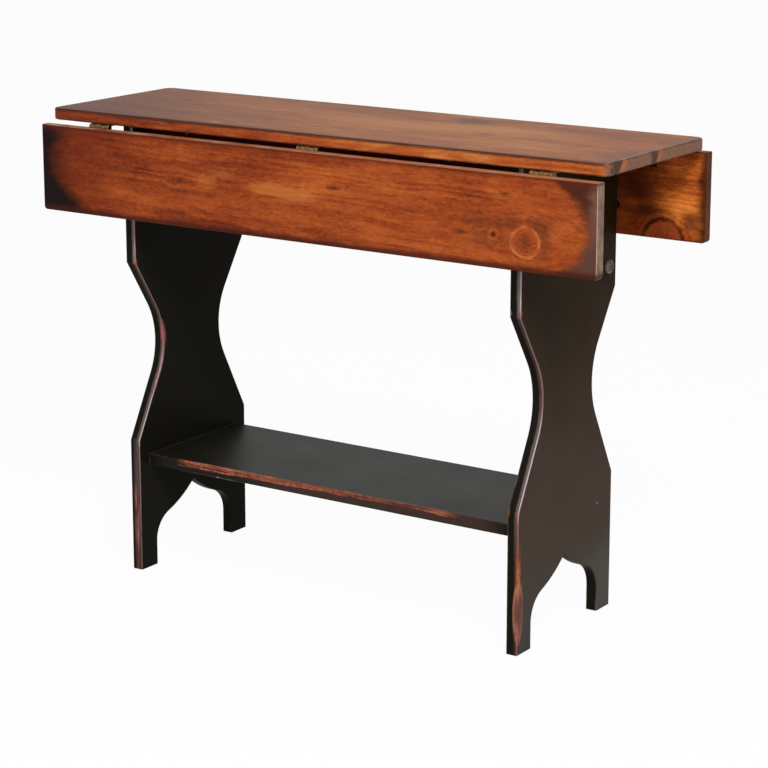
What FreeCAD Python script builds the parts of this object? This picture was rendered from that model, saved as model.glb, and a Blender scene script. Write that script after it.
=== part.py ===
"""Drop-leaf table on two shaped end boards, with a low shelf.

The frame stands on the floor with its origin under the middle of the top: +X runs along the top, +Y to the
rear and +Z up. Both leaves hang, as they are stored. Sizes are millimetres.
"""
import FreeCAD, Part
import math
import os
import re
import Sketcher

V = FreeCAD.Vector

SIZES = {
    # Top and leaves
    "height": 762,
    "top_length": 1030,
    "top_width": 305,
    "top_thickness": 19,
    "top_corner_radius": 15,
    "top_edge_round": 3,
    "leaf_width": 139.7,
    "leaf_thickness": 19,
    "leaf_corner_radius": 6,
    "leaf_edge_round": 2,
    "leaf_setback": 0.4,
    # End boards: two tapers meet in a rounded waist, and a pointed ogee arch parts the feet
    "end_overhang": 143,
    "end_inset": 9.625,
    "end_thickness": 19,
    "end_edge_round": 2,
    "hip_height": 222,
    "waist_rise": 158,
    "shoulder_rise": 140,
    "waist_width": 150,
    "waist_radius": 116,
    "foot_gap": 202,
    "arch_spring": 40,
    "arch_radius": 46,
    "arch_height": 123,
    "arch_tip_radius": 4,
    "ogee_radius": 200,
    # Shelf, aprons and cleats
    "shelf_height": 195,
    "shelf_inset": 25.375,
    "shelf_thickness": 19,
    "shelf_edge_round": 2,
    "apron_height": 63.5,
    "apron_thickness": 19,
    "cleat_size": 25,
    # Screws that hold the boards, under wooden plugs in the end boards
    "fit_clearance": 0.05,
    "slot_width": 0.9,
    "slot_depth": 0.8,
    "end_screw_radius": 2.2,
    "end_screw_head_radius": 4.5,
    "end_screw_head_height": 2.6,
    "end_screw_bite": 30,
    "plug_depth": 5,
    "shelf_screw_inset": 23.5,
    "apron_screw_inset": 16,
    "cleat_screw_radius": 2,
    "cleat_screw_head_radius": 4,
    "cleat_screw_head_height": 2.3,
    "cleat_screw_bite": 11,
    "cleat_screw_inset": 15,
    "cleat_screw_pitch": 20,
    # Leaf hinges
    "hinge_length": 40,
    "hinge_end_gap": 19,
    "hinge_plate_width": 30,
    "hinge_plate_thickness": 2,
    "barrel_radius": 4.5,
    "barrel_gap": 0.3,
    "knuckle_gap": 0.3,
    "hinge_pin_radius": 2,
    "hinge_screw_radius": 1.6,
    "hinge_screw_head_radius": 3.1,
    "hinge_screw_head_height": 1.6,
    "hinge_screw_bite": 10,
    "hinge_screw_pitch": 13,
    "hinge_screw_near": 12,
    "hinge_screw_far": 22,
    # Swivel supports under the raised leaves
    "support_from_middle": 230,
    "support_inset": 47.5,
    "support_reach": 132,
    "support_width": 25,
    "support_thickness": 3,
    "support_edge_round": 0.5,
    "support_clearance": 0.3,
    "support_apron_gap": 0.5,
    "pivot_shoulder_radius": 4,
    "pivot_head_radius": 8,
    "pivot_head_face_radius": 5.6,
    "pivot_head_height": 3,
    "pivot_thread_radius": 2.5,
    "pivot_bite": 14,
    "stop_pin_radius": 2.5,
    "stop_pin_bite": 12,
    "stop_pin_inset": 15,
    # Pegs that stop a hanging leaf, and the knob on the right end board
    "peg_radius": 6,
    "peg_seat": 15,
    "peg_below_top": 100,
    "peg_clearance": 0.3,
    "knob_radius": 11,
    "knob_half_thickness": 5.5,
    "knob_dish_radius": 7,
    "knob_dish_depth": 3.2,
    "knob_projection": 20,
    "knob_collar_radius": 8,
    "knob_neck_radius": 6,
    "knob_shank_radius": 5,
    "knob_shank_depth": 12,
    "knob_edge_inset": 49,
    "knob_above_shoulder": 39.5,
}

# Places that several pieces share, as expressions on the sizes
UNDERSIDE = "(height - top_thickness)"
TOP_EDGE = "(top_width / 2)"
END_FACE = "(top_length / 2 - end_overhang)"
END_INNER = f"({END_FACE} - end_thickness)"
END_EDGE = f"({TOP_EDGE} - end_inset)"
SHELF_EDGE = f"({END_EDGE} - shelf_inset)"
HINGE_DROP = "(barrel_radius + barrel_gap)"
HINGE_HEIGHT = f"({UNDERSIDE} - {HINGE_DROP})"
HINGE_SPACING = f"({END_FACE} + hinge_end_gap + hinge_length / 2)"
LEAF_FACE = f"({TOP_EDGE} + {HINGE_DROP})"
PIVOT_LINE = f"({TOP_EDGE} - support_inset)"
APRON_FACE = f"({PIVOT_LINE} - support_width / 2 - support_apron_gap)"
APRON_BACK = f"({APRON_FACE} - apron_thickness)"
KNUCKLES = 5

# A length too small to matter, and the part of a screw's radius that is left at its tip
HAIR = 1e-6
TIP_SHARE = 0.25

doc = FreeCAD.newDocument("drop_leaf_table")
sheet = doc.addObject("Spreadsheet::Sheet", "Sizes")
for row, (name, size) in enumerate(SIZES.items(), start=1):
    sheet.set(f"A{row}", name)
    sheet.set(f"B{row}", str(size))
    sheet.setAlias(f"B{row}", name)
doc.recompute()

nodes = []


def cells(text):
    """The expression with each size's name read from the sheet."""
    return re.sub(r"[a-z_]+", lambda word: f"Sizes.{word[0]}" if word[0] in SIZES else word[0], text)


def bind(thing, **expressions):
    """Bind properties of a document object to expressions on the sizes."""
    for name, text in expressions.items():
        thing.setExpression(name, cells(text))
    return thing


def place(thing, x="0", y="0", z="0", axis=(0, 0, 1), angle=0, then=None):
    """Turn an object about an axis, perhaps turn it again, and bind its position."""
    turn = FreeCAD.Rotation(V(*axis), angle)
    if then:
        turn = FreeCAD.Rotation(V(*then[0]), then[1]).multiply(turn)
    thing.Placement = FreeCAD.Placement(V(), turn)
    for letter, text in zip("xyz", (x, y, z)):
        thing.setExpression(f"Placement.Base.{letter}", cells(text))
    return thing


def solid(kind, name, x="0", y="0", z="0", **sizes):
    """A Part primitive of bound sizes at a bound place."""
    return place(bind(doc.addObject(f"Part::{kind}", name), **sizes), x, y, z)


def fuse(name, pieces):
    thing = doc.addObject("Part::MultiFuse", name)
    thing.Shapes = pieces
    return thing


def hold(name, piece):
    """A frame of its own for a piece that stands off its origin."""
    thing = doc.addObject("Part::Compound", name)
    thing.Links = [piece]
    return thing


def cut(name, base, tool):
    thing = doc.addObject("Part::Cut", name)
    thing.Base = base
    thing.Tool = tool
    return thing


def copies(name, master, spots):
    """One object that holds a copy of the master at each spot."""
    links = []
    for number, spot in enumerate(spots, start=1):
        link = doc.addObject("App::Link", f"{name}_{number}")
        link.LinkedObject = master
        links.append(place(link, **spot))
    group = doc.addObject("Part::Compound", name)
    group.Links = links
    return group


def copy(name, master, **spot):
    link = doc.addObject("App::Link", name)
    link.LinkedObject = master
    return place(link, **spot)


def node(thing, label):
    """Keep an object as a sub-part under its own name."""
    thing.Label = label
    nodes.append(thing)
    return thing


def spot(x, y, z, **turn):
    return {"x": x, "y": y, "z": z, **turn}


# Which way a screw's head looks
HEAD_DOWN = {"axis": (1, 0, 0), "angle": 180}
HEAD_REAR = {"axis": (1, 0, 0), "angle": -90}
HEAD_FRONT = {"axis": (1, 0, 0), "angle": 90}
HEAD_RIGHT = {"axis": (0, 1, 0), "angle": 90}
HEAD_LEFT = {"axis": (0, 1, 0), "angle": -90}
HALF_TURN = {"axis": (0, 0, 1), "angle": 180}
ENDS = {"right": (1, HEAD_RIGHT), "left": (-1, HEAD_LEFT)}
SIDES = {"rear": (1, HEAD_FRONT), "front": (-1, HEAD_REAR)}


def wood_screw(name, length):
    """A countersunk screw along -Z, its head's face at the origin, with one slot."""
    head = solid("Cone", f"{name}_head", z=f"-{name}_head_height", Radius1=f"{name}_radius",
                 Radius2=f"{name}_head_radius", Height=f"{name}_head_height")
    shank = solid("Cylinder", f"{name}_shank", z=f"-({length} - {name}_radius)", Radius=f"{name}_radius",
                  Height=f"{length} - {name}_radius - {name}_head_height / 2")
    tip = solid("Cone", f"{name}_tip", z=f"-({length})", Radius1=f"{TIP_SHARE} * {name}_radius",
                Radius2=f"{name}_radius", Height=f"{name}_radius")
    slot = solid("Box", f"{name}_slot", x=f"-{name}_head_radius", y="-slot_width / 2", z="-slot_depth",
                 Length=f"2 * {name}_head_radius", Width="slot_width", Height="slot_depth")
    return cut(f"{name}_master", fuse(f"{name}_blank", [head, shank, tip]), slot)


def screw_hole(name, length, mouth):
    """The room for such a screw: its shape and the fit clearance, open above the head over the mouth."""
    radius = f"{name}_radius + fit_clearance"
    head_radius = f"{name}_head_radius + fit_clearance"
    sink = solid("Cone", f"{name}_sink", z=f"-{name}_head_height", Radius1=radius, Radius2=head_radius,
                 Height=f"{name}_head_height")
    shank = solid("Cylinder", f"{name}_bore", z=f"-({length} + fit_clearance)", Radius=radius,
                  Height=f"{length} + fit_clearance")
    opening = solid("Cylinder", f"{name}_mouth", Radius=head_radius, Height=mouth)
    return fuse(f"{name}_hole", [sink, shank, opening])


# Sketch helpers

def plane_of(body, role):
    return next(plane for plane in body.Origin.OriginFeatures if plane.Role == role)


def new_body(name):
    return doc.addObject("PartDesign::Body", name)


def sketch_in(body, role, name):
    sketch = body.newObject("Sketcher::SketchObject", name)
    sketch.AttachmentSupport = [(plane_of(body, role), "")]
    sketch.MapMode = "FlatFace"
    return sketch


def dimension(sketch, label, text, kind, *parts):
    number = sketch.addConstraint(Sketcher.Constraint(kind, *parts))
    sketch.renameConstraint(number, label)
    sketch.setExpression(f"Constraints.{label}", cells(text))


def locate(sketch, label, line, end, across=None, up=None):
    """Bind a point's coordinates in the sketch, each where a text is given."""
    point = sketch.getPoint(line, end)
    if across:
        dimension(sketch, f"{label}_across", across, "DistanceX", -1, 1, line, end, point.x)
    if up:
        dimension(sketch, f"{label}_up", up, "DistanceY", -1, 1, line, end, point.y)


def join(sketch, first, second):
    sketch.addConstraint(Sketcher.Constraint("Coincident", first, 2, second, 1))


def flow(sketch, first, second):
    """Join one piece's end to the next one's start without a corner."""
    sketch.addConstraint(Sketcher.Constraint("Tangent", first, 2, second, 1))


def pad(body, sketch, length):
    feature = body.newObject("PartDesign::Pad", f"{sketch.Name}_pad")
    feature.Profile = sketch
    return bind(feature, Length=length)


def round_edges(body, base, radius, chosen):
    """Round the edges of a feature that the test picks."""
    doc.recompute()
    names = [f"Edge{number}" for number, edge in enumerate(base.Shape.Edges, start=1) if chosen(edge)]
    feature = body.newObject("PartDesign::Fillet", f"{base.Name}_round")
    feature.Base = (base, names)
    bind(feature, Radius=radius)
    body.Tip = feature
    return feature


def spans(edge, letter):
    """How far an edge reaches along one axis."""
    return getattr(edge.BoundBox, f"{letter.upper()}Length")


def flat_at(edge, letter, level):
    """Whether an edge lies in the plane at that level of one axis."""
    box = edge.BoundBox
    low, high = getattr(box, f"{letter.upper()}Min"), getattr(box, f"{letter.upper()}Max")
    return abs(low - level) < HAIR and abs(high - level) < HAIR


def board(name, length, width, thickness, start="0"):
    """A flat board along X, from a start along Y, as thick as stated along Z."""
    body = new_body(name)
    sketch = sketch_in(body, "XY_Plane", f"{name}_outline")
    rough = [V(-2, 1, 0), V(2, 1, 0), V(2, 3, 0), V(-2, 3, 0)]
    following = rough[1:] + rough[:1]
    for corner, other in zip(rough, following):
        sketch.addGeometry(Part.LineSegment(corner, other))
    for number, level in enumerate(("Horizontal", "Vertical", "Horizontal", "Vertical")):
        join(sketch, number, (number + 1) % len(rough))
        sketch.addConstraint(Sketcher.Constraint(level, number))
    locate(sketch, "near", 0, 1, across=f"-({length}) / 2", up=start)
    locate(sketch, "far", 2, 1, across=f"({length}) / 2", up=f"{start} + {width}")
    return body, pad(body, sketch, thickness)


# Fasteners, each drawn once and copied to its places

END_SCREW_LENGTH = "(end_thickness - plug_depth + end_screw_bite)"
CLEAT_SCREW_LENGTH = "(cleat_size + cleat_screw_bite)"
HINGE_SCREW_LENGTH = "(hinge_plate_thickness + hinge_screw_bite)"
end_screw = wood_screw("end_screw", END_SCREW_LENGTH)
end_screw_hole = screw_hole("end_screw", END_SCREW_LENGTH, "2 * plug_depth")
cleat_screw = wood_screw("cleat_screw", CLEAT_SCREW_LENGTH)
cleat_screw_hole = screw_hole("cleat_screw", CLEAT_SCREW_LENGTH, "cleat_size")
hinge_screw = wood_screw("hinge_screw", HINGE_SCREW_LENGTH)
hinge_screw_hole = screw_hole("hinge_screw", HINGE_SCREW_LENGTH, "barrel_radius")
PLUG_RADIUS = "(end_screw_head_radius + fit_clearance)"
plug = solid("Cylinder", "plug_master", Radius=PLUG_RADIUS, Height="plug_depth")


def shelf_screw_spots(end):
    """Places of the three screws through one end board into the shelf, at the bottom of their plugs."""
    sign, turn = ENDS[end]
    face, level = f"{sign} * ({END_FACE} - plug_depth)", "shelf_height - shelf_thickness / 2"
    return [spot(face, f"{step} * ({SHELF_EDGE} - shelf_screw_inset)", level, **turn) for step in (-1, 0, 1)]


def apron_screw_spots(end, side):
    """Places of the two screws through one end board into one apron."""
    sign, turn = ENDS[end]
    way, _ = SIDES[side]
    face, middle = f"{sign} * ({END_FACE} - plug_depth)", f"{way} * ({APRON_FACE} - apron_thickness / 2)"
    levels = (f"{UNDERSIDE} - apron_screw_inset", f"{UNDERSIDE} - apron_height + apron_screw_inset")
    return [spot(face, middle, level, **turn) for level in levels]


def end_screw_spots(end):
    return shelf_screw_spots(end) + [s for side in SIDES for s in apron_screw_spots(end, side)]


def cleat_screw_spots(end):
    """Places of one cleat's screws: two up into the top and two across into the end board."""
    sign, _ = ENDS[end]
    inward = HEAD_LEFT if sign > 0 else HEAD_RIGHT
    middle = f"{sign} * ({END_INNER} - cleat_size / 2)"
    face = f"{sign} * ({END_INNER} - cleat_size)"
    spots = []
    for side in (-1, 1):
        outer = f"{side} * ({APRON_BACK} - cleat_screw_inset)"
        inner = f"{side} * ({APRON_BACK} - cleat_screw_inset - cleat_screw_pitch)"
        spots.append(spot(middle, outer, f"{UNDERSIDE} - cleat_size", **HEAD_DOWN))
        spots.append(spot(face, inner, f"{UNDERSIDE} - cleat_size / 2", **inward))
    return spots


# Each plate's screws, along the hinge and out from its axis
PLATE_SCREWS = [
    ("-hinge_screw_pitch", "hinge_screw_near"),
    ("0", "hinge_screw_far"),
    ("hinge_screw_pitch", "hinge_screw_near"),
]
HINGES = {"left": -1, "middle": 0, "right": 1}
PLATE_FACE = f"({HINGE_DROP} - hinge_plate_thickness)"


def top_hinge_screw_spots():
    return [spot(f"{step} * {HINGE_SPACING} + {along}", f"{sign} * ({TOP_EDGE} - {out})",
                 f"{HINGE_HEIGHT} + {PLATE_FACE}", **HEAD_DOWN)
            for sign in (-1, 1) for step in HINGES.values() for along, out in PLATE_SCREWS]


def leaf_hinge_screw_spots(side):
    sign, turn = SIDES[side]
    return [spot(f"{step} * {HINGE_SPACING} + {along}", f"{sign} * ({TOP_EDGE} + {PLATE_FACE})",
                 f"{HINGE_HEIGHT} - {out}", **turn)
            for step in HINGES.values() for along, out in PLATE_SCREWS]


# Swivel supports: a steel bar swings on a shoulder screw, through the slit above the hanging leaf

def support_bar():
    body = new_body("support_master")
    sketch = sketch_in(body, "XY_Plane", "support_outline")
    half = SIZES["support_width"] / 2
    reach = SIZES["support_reach"] - half
    sketch.addGeometry(Part.LineSegment(V(0, -half, 0), V(reach, -half, 0)))
    tip, eye_end = (Part.Circle(V(x, 0, 0), V(0, 0, 1), half) for x in (reach, 0))
    sketch.addGeometry(Part.ArcOfCircle(tip, -math.pi / 2, math.pi / 2))
    sketch.addGeometry(Part.LineSegment(V(reach, half, 0), V(0, half, 0)))
    sketch.addGeometry(Part.ArcOfCircle(eye_end, math.pi / 2, 3 * math.pi / 2))
    for number in range(4):
        flow(sketch, number, (number + 1) % 4)
    sketch.addConstraint(Sketcher.Constraint("Horizontal", 0))
    sketch.addConstraint(Sketcher.Constraint("Coincident", 3, 3, -1, 1))
    dimension(sketch, "end_radius", "support_width / 2", "Radius", 3, half)
    locate(sketch, "tip", 1, 3, across="support_reach - support_width / 2")
    bar = pad(body, sketch, "support_thickness")
    round_edges(body, bar, "support_edge_round", lambda edge: spans(edge, "z") < HAIR)
    eye = solid("Cylinder", "support_eye", Radius="pivot_shoulder_radius + fit_clearance",
                Height="support_thickness")
    return cut("support_with_eye", body, eye)


def pivot_screw():
    """A shoulder screw seen from above its wood: the thread goes up, the shoulder and the head down."""
    shoulder = "support_thickness + 2 * support_clearance"
    parts = [
        solid("Cylinder", "pivot_thread", Radius="pivot_thread_radius", Height="pivot_bite"),
        solid("Cylinder", "pivot_shoulder", z=f"-({shoulder})", Radius="pivot_shoulder_radius",
              Height=shoulder),
        solid("Cone", "pivot_head", z=f"-({shoulder} + pivot_head_height)", Radius1="pivot_head_face_radius",
              Radius2="pivot_head_radius", Height="pivot_head_height"),
    ]
    slot = solid("Box", "pivot_slot", x="-pivot_head_radius", y="-slot_width / 2",
                 z=f"-({shoulder} + pivot_head_height)", Length="2 * pivot_head_radius", Width="slot_width",
                 Height="slot_depth")
    return cut("pivot_screw_master", fuse("pivot_screw_blank", parts), slot)


support = support_bar()
pivot = pivot_screw()
pivot_hole = solid("Cylinder", "pivot_hole", Radius="pivot_thread_radius + fit_clearance",
                   Height="pivot_bite + fit_clearance")
STOP_PIN_DROP = "(2 * support_clearance + support_thickness)"
stop_pin = solid("Cylinder", "stop_pin_master", z=f"-{STOP_PIN_DROP}", Radius="stop_pin_radius",
                 Height=f"stop_pin_bite + {STOP_PIN_DROP}")
stop_pin = hold("stop_pin_placed", stop_pin)
stop_pin_hole = solid("Cylinder", "stop_pin_hole", Radius="stop_pin_radius + fit_clearance",
                      Height="stop_pin_bite + fit_clearance")
CORNERS = [(side, end) for side in (-1, 1) for end in (-1, 1)]
pivot_spots = [spot(f"{end} * support_from_middle", f"{side} * {PIVOT_LINE}", UNDERSIDE)
               for side, end in CORNERS]
STOP_PIN_OUT = "(support_from_middle + support_width / 2 + support_clearance + stop_pin_radius)"
stop_pin_spots = [spot(f"{end} * {STOP_PIN_OUT}", f"{side} * ({TOP_EDGE} - stop_pin_inset)", UNDERSIDE)
                  for side, end in CORNERS]


# Top board

def top_board():
    body, slab = board("top_slab", "top_length", "top_width", "top_thickness", start=f"-{TOP_EDGE}")
    corners = round_edges(body, slab, "top_corner_radius", lambda edge: spans(edge, "z") > HAIR)
    round_edges(body, corners, "top_edge_round", lambda edge: spans(edge, "z") < HAIR)
    place(body, z=UNDERSIDE)
    up_screws = [s for end in ENDS for s in cleat_screw_spots(end) if s["axis"] == HEAD_DOWN["axis"]]
    holes = fuse("top_holes", [
        copies("top_hinge_holes", hinge_screw_hole, top_hinge_screw_spots()),
        copies("top_cleat_holes", cleat_screw_hole, up_screws),
        copies("top_pivot_holes", pivot_hole, pivot_spots),
        copies("top_stop_holes", stop_pin_hole, stop_pin_spots),
    ])
    return cut("top_with_holes", body, holes)


node(top_board(), "top_board")


# Leaves: drawn raised, outwards from the hinge line, with the underside at zero height

def leaf(side):
    body, slab = board(f"{side}_leaf_slab", "top_length", "leaf_width", "leaf_thickness",
                       start="leaf_setback")
    doc.recompute()
    outer = slab.Shape.BoundBox.YMax
    corners = round_edges(body, slab, "leaf_corner_radius",
                          lambda edge: spans(edge, "z") > HAIR and flat_at(edge, "y", outer))
    round_edges(body, corners, "leaf_edge_round", lambda edge: spans(edge, "z") < HAIR)
    sign, _ = SIDES[side]
    turn = {"axis": (1, 0, 0), "angle": -90, "then": None if sign > 0 else ((0, 0, 1), 180)}
    place(body, y=f"{sign} * {LEAF_FACE}", z=HINGE_HEIGHT, **turn)
    holes = copies(f"{side}_leaf_holes", hinge_screw_hole, leaf_hinge_screw_spots(side))
    return cut(f"{side}_leaf_with_holes", body, holes)


for side in SIDES:
    node(leaf(side), f"{side}_leaf")


# End boards

def tangent_point(point, centre, radius, turn):
    """Where the line from a point touches a circle, on the side that turn (+1 or -1) names."""
    away = point.sub(centre)
    angle = math.atan2(away.y, away.x) + turn * math.acos(radius / away.Length)
    return centre.add(V(radius * math.cos(angle), radius * math.sin(angle), 0)), angle


def touching_circle(first, first_radius, second, second_radius, radius):
    """The centre of a circle that touches two others from outside, to the left of the way between their centres."""
    way = second.sub(first)
    reach = radius + first_radius
    along = (way.Length ** 2 + reach ** 2 - (radius + second_radius) ** 2) / (2 * way.Length)
    aside = math.sqrt(reach ** 2 - along ** 2)
    ahead = V(way).normalize()
    return first.add(V(ahead.x * along - ahead.y * aside, ahead.y * along + ahead.x * aside, 0))


def heading(start, end):
    return math.atan2(end.y - start.y, end.x - start.x)


WAIST_LEVEL = "(hip_height + waist_rise)"
WAIST_DEPTH = f"({END_EDGE} - waist_width / 2)"
TAPERS = ("waist_rise", "shoulder_rise")

# A waist may bend at most this part of the bend that would use up a whole taper
BEND_SHARE = 0.9
WAIST_LIMITS = [f"{BEND_SHARE} * ({WAIST_DEPTH}^2 + {rise}^2) / (2 * {WAIST_DEPTH})" for rise in TAPERS]
WAIST_RADIUS = f"min(waist_radius; {WAIST_LIMITS[0]}; {WAIST_LIMITS[1]})"


def end_outline(body):
    """Half of the end board's outline, to the rear of its middle line."""
    size = SIZES
    edge = size["top_width"] / 2 - size["end_inset"]
    depth = edge - size["waist_width"] / 2
    limits = [BEND_SHARE * (depth ** 2 + size[rise] ** 2) / (2 * depth) for rise in TAPERS]
    waist_radius = min(size["waist_radius"], *limits)
    waist = size["hip_height"] + size["waist_rise"]
    roof, shoulder = size["height"] - size["top_thickness"], waist + size["shoulder_rise"]
    waist_centre = V(size["waist_width"] / 2 + waist_radius, waist, 0)
    arch_centre = V(size["foot_gap"] / 2 - size["arch_radius"], size["arch_spring"], 0)
    shoulder_point, hip_point = V(edge, shoulder, 0), V(edge, size["hip_height"], 0)
    tip_centre = V(0, size["arch_height"] - size["arch_tip_radius"], 0)
    upper, upper_angle = tangent_point(shoulder_point, waist_centre, waist_radius, 1)
    lower, lower_angle = tangent_point(hip_point, waist_centre, waist_radius, -1)
    ogee_centre = touching_circle(tip_centre, size["arch_tip_radius"], arch_centre, size["arch_radius"],
                                  size["ogee_radius"])
    apex = V(0, size["arch_height"], 0)
    foot = V(size["foot_gap"] / 2, 0, 0)
    spring = V(foot.x, size["arch_spring"], 0)
    round_turn = 2 * math.pi
    lower_angle += round_turn if lower_angle < upper_angle else 0

    sketch = sketch_in(body, "YZ_Plane", "end_outline")
    for piece in (
        Part.LineSegment(V(0, roof, 0), V(edge, roof, 0)),
        Part.LineSegment(V(edge, roof, 0), shoulder_point),
        Part.LineSegment(shoulder_point, upper),
        Part.ArcOfCircle(Part.Circle(waist_centre, V(0, 0, 1), waist_radius), upper_angle, lower_angle),
        Part.LineSegment(lower, hip_point),
        Part.LineSegment(hip_point, V(edge, 0, 0)),
        Part.LineSegment(V(edge, 0, 0), foot),
        Part.LineSegment(foot, spring),
        Part.ArcOfCircle(Part.Circle(arch_centre, V(0, 0, 1), size["arch_radius"]), 0,
                         heading(arch_centre, ogee_centre)),
        Part.ArcOfCircle(Part.Circle(ogee_centre, V(0, 0, 1), size["ogee_radius"]),
                         heading(ogee_centre, tip_centre), heading(ogee_centre, arch_centre)),
        Part.ArcOfCircle(Part.Circle(tip_centre, V(0, 0, 1), size["arch_tip_radius"]),
                         heading(tip_centre, ogee_centre), math.pi / 2),
        Part.LineSegment(apex, V(0, roof, 0)),
    ):
        sketch.addGeometry(piece)
    top, flank, taper, waist_arc, flare, hip, sole, inner, arch, ogee, tip, middle = range(sketch.GeometryCount)
    for first, second in ((top, flank), (flank, taper), (flare, hip), (hip, sole), (sole, inner), (tip, middle),
                          (middle, top)):
        join(sketch, first, second)
    for first, second in ((taper, waist_arc), (waist_arc, flare), (inner, arch)):
        flow(sketch, first, second)
    # The ogee's arc runs the other way: it starts at the tip and ends at the arch
    for end, neighbour, its_end in ((1, tip, 1), (2, arch, 2)):
        sketch.addConstraint(Sketcher.Constraint("Tangent", ogee, end, neighbour, its_end))
    sketch.addConstraint(Sketcher.Constraint("PointOnObject", tip, 3, -2))
    for level in (top, sole):
        sketch.addConstraint(Sketcher.Constraint("Horizontal", level))
    for upright in (flank, hip, inner, middle):
        sketch.addConstraint(Sketcher.Constraint("Vertical", upright))
    sketch.addConstraint(Sketcher.Constraint("PointOnObject", middle, 1, -2))
    sketch.addConstraint(Sketcher.Constraint("PointOnObject", sole, 1, -1))
    locate(sketch, "corner", top, 2, across=END_EDGE, up=UNDERSIDE)
    locate(sketch, "shoulder", flank, 2, up=f"{WAIST_LEVEL} + shoulder_rise")
    locate(sketch, "waist", waist_arc, 3, across=f"waist_width / 2 + {WAIST_RADIUS}", up=WAIST_LEVEL)
    dimension(sketch, "waist_bend", WAIST_RADIUS, "Radius", waist_arc, waist_radius)
    locate(sketch, "hip", flare, 2, across=END_EDGE, up="hip_height")
    locate(sketch, "foot", sole, 2, across="foot_gap / 2")
    locate(sketch, "arch", arch, 3, up="arch_spring")
    dimension(sketch, "arch_bend", "arch_radius", "Radius", arch, size["arch_radius"])
    locate(sketch, "apex", tip, 2, up="arch_height")
    dimension(sketch, "ogee_bend", "ogee_radius", "Radius", ogee, size["ogee_radius"])
    dimension(sketch, "tip_bend", "arch_tip_radius", "Radius", tip, size["arch_tip_radius"])
    return sketch


def end_board_blank():
    body = new_body("end_blank")
    half = pad(body, end_outline(body), "end_thickness")
    doc.recompute()
    whole = body.newObject("PartDesign::Mirrored", "end_whole")
    whole.Originals = [half]
    whole.MirrorPlane = (plane_of(body, "XZ_Plane"), [""])
    body.Tip = whole
    doc.recompute()
    box = whole.Shape.BoundBox
    round_edges(body, whole, "end_edge_round", lambda edge: spans(edge, "x") < HAIR
                and not flat_at(edge, "z", box.ZMin) and not flat_at(edge, "z", box.ZMax))
    return body


PEG_LEVEL = f"({UNDERSIDE} - peg_below_top)"
PEG_OUT = f"({LEAF_FACE} - peg_clearance - {END_EDGE})"
peg = solid("Cylinder", "peg_master", z="-peg_seat", Radius="peg_radius", Height=f"peg_seat + {PEG_OUT}")
peg = hold("peg_placed", peg)
peg_hole = solid("Cylinder", "peg_hole_bore", z="-peg_seat", Radius="peg_radius + fit_clearance",
                 Height=f"peg_seat + {PEG_OUT}")
peg_hole = hold("peg_hole", peg_hole)


def peg_spots(end):
    sign, _ = ENDS[end]
    middle = f"{sign} * ({END_INNER} + end_thickness / 2)"
    return [spot(middle, f"-{END_EDGE}", PEG_LEVEL, **HEAD_FRONT),
            spot(middle, END_EDGE, PEG_LEVEL, **HEAD_REAR)]


KNOB_LEVEL = f"({WAIST_LEVEL} + shoulder_rise + knob_above_shoulder)"
KNOB_SPOT = spot(END_FACE, f"{END_EDGE} - knob_edge_inset", KNOB_LEVEL, **HEAD_RIGHT)
end_blank = end_board_blank()


def end_board(end):
    sign, _ = ENDS[end]
    blank = copy(f"{end}_end_blank", end_blank, x=f"{sign} * {END_INNER}", **(HALF_TURN if sign < 0 else {}))
    across_screws = [s for s in cleat_screw_spots(end) if s["axis"] != HEAD_DOWN["axis"]]
    holes = [
        copies(f"{end}_end_screw_holes", end_screw_hole, end_screw_spots(end)),
        copies(f"{end}_end_cleat_holes", cleat_screw_hole, across_screws),
        copies(f"{end}_end_peg_holes", peg_hole, peg_spots(end)),
    ]
    if end == "right":
        bore = solid("Cylinder", "knob_hole_bore", z="-knob_shank_depth",
                     Radius="knob_shank_radius + fit_clearance", Height="2 * knob_shank_depth")
        holes.append(copies("knob_hole", hold("knob_hole_placed", bore), [KNOB_SPOT]))
    return cut(f"{end}_end_with_holes", blank, fuse(f"{end}_end_holes", holes))


for end in ENDS:
    node(end_board(end), f"{end}_end_board")


# Shelf, aprons and cleats between the end boards

def shelf():
    body, slab = board("shelf_slab", f"2 * {END_INNER}", f"2 * {SHELF_EDGE}", "shelf_thickness",
                       start=f"-{SHELF_EDGE}")
    round_edges(body, slab, "shelf_edge_round", lambda edge: spans(edge, "x") > HAIR)
    place(body, z="shelf_height - shelf_thickness")
    spots = [s for end in ENDS for s in shelf_screw_spots(end)]
    return cut("shelf_with_holes", body, copies("shelf_holes", end_screw_hole, spots))


def apron(side):
    sign, _ = SIDES[side]
    low = APRON_BACK if sign > 0 else f"-{APRON_FACE}"
    body, _ = board(f"{side}_apron_slab", f"2 * {END_INNER}", "apron_thickness", "apron_height", start=low)
    place(body, z=f"{UNDERSIDE} - apron_height")
    spots = [s for end in ENDS for s in apron_screw_spots(end, side)]
    return cut(f"{side}_apron_with_holes", body, copies(f"{side}_apron_holes", end_screw_hole, spots))


def cleat(end):
    sign, _ = ENDS[end]
    low = f"{END_INNER} - cleat_size" if sign > 0 else f"-{END_INNER}"
    bar = solid("Box", f"{end}_cleat_bar", x=low, y=f"-{APRON_BACK}", z=f"{UNDERSIDE} - cleat_size",
                Length="cleat_size", Width=f"2 * {APRON_BACK}", Height="cleat_size")
    holes = copies(f"{end}_cleat_holes", cleat_screw_hole, cleat_screw_spots(end))
    return cut(f"{end}_cleat_with_holes", bar, holes)


node(shelf(), "shelf")
for side in SIDES:
    node(apron(side), f"{side}_apron")
for end in ENDS:
    node(cleat(end), f"{end}_top_cleat")

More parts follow.
